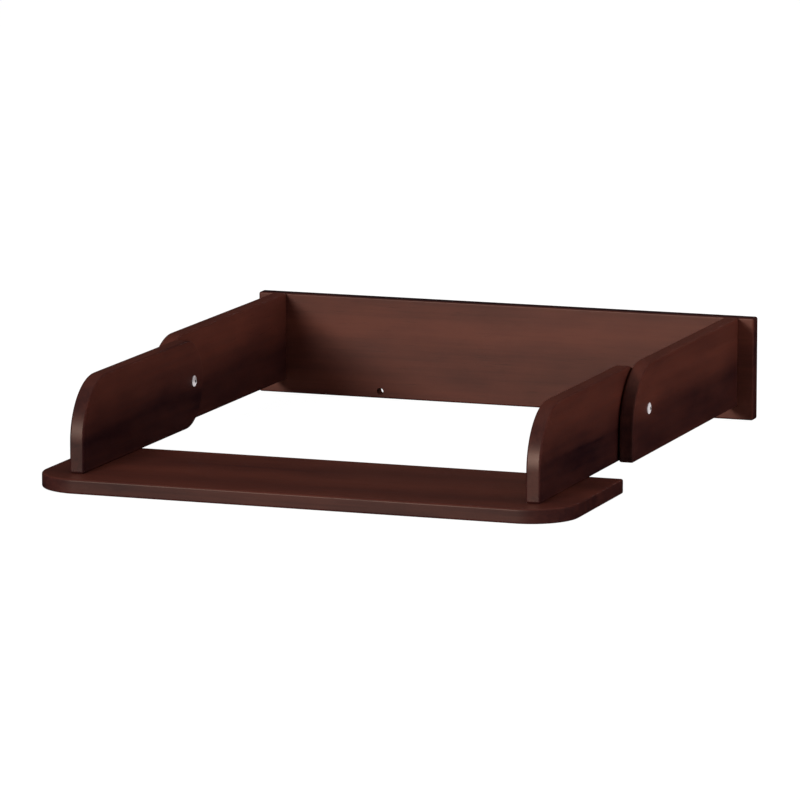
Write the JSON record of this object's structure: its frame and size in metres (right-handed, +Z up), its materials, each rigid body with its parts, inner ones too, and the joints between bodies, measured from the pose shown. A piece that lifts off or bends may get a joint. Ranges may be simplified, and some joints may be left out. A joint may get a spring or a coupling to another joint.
{
  "type": "dresser top changer",
  "caption": "Low wooden changing frame for a dresser top: back panel and rear sides, with a shelf and front sides that fold up and back over them about bolts.",
  "frame": {"origin": "on the floor under the middle of the whole outline, straight below the fold line", "axes": "+Z up, -Y towards the shelf at the front, +X to the right for someone who faces the back panel from the front"},
  "size_m": [0.68, 0.792, 0.133],
  "materials": {
    "stained_wood": "dark reddish-brown stain under satin lacquer",
    "plated_steel": "bright plated steel",
    "screw_steel": "zinc-plated steel",
    "nylon": "dark nylon",
    "beech": "unfinished beech"
  },
  "bodies": {
    "rear_frame": {"back_panel": "stained_wood", "rear_side_left": "stained_wood", "rear_side_right": "stained_wood", "pivot_bolt_left": "plated_steel", "pivot_bolt_right": "plated_steel", "pivot_sleeve_left": "plated_steel", "pivot_sleeve_right": "plated_steel", "pivot_washer_left": "nylon", "pivot_washer_right": "nylon", "back_screw_left_lower": "screw_steel", "back_screw_left_upper": "screw_steel", "back_screw_right_lower": "screw_steel", "back_screw_right_upper": "screw_steel", "back_dowel_left": "beech", "back_dowel_right": "beech"},
    "front_frame": {"shelf": "stained_wood", "front_side_left": "stained_wood", "front_side_right": "stained_wood", "shelf_screw_left_front": "screw_steel", "shelf_screw_left_rear": "screw_steel", "shelf_screw_right_front": "screw_steel", "shelf_screw_right_rear": "screw_steel", "shelf_dowel_left": "beech", "shelf_dowel_right": "beech"}
  },
  "joints": [
    {"name": "front_fold", "type": "hinge", "parent": "rear_frame", "child": "front_frame", "pos_m": [0, 0, 0.07575], "axis": [-1, 0, 0], "range_deg": [0, 180]}
  ]
}
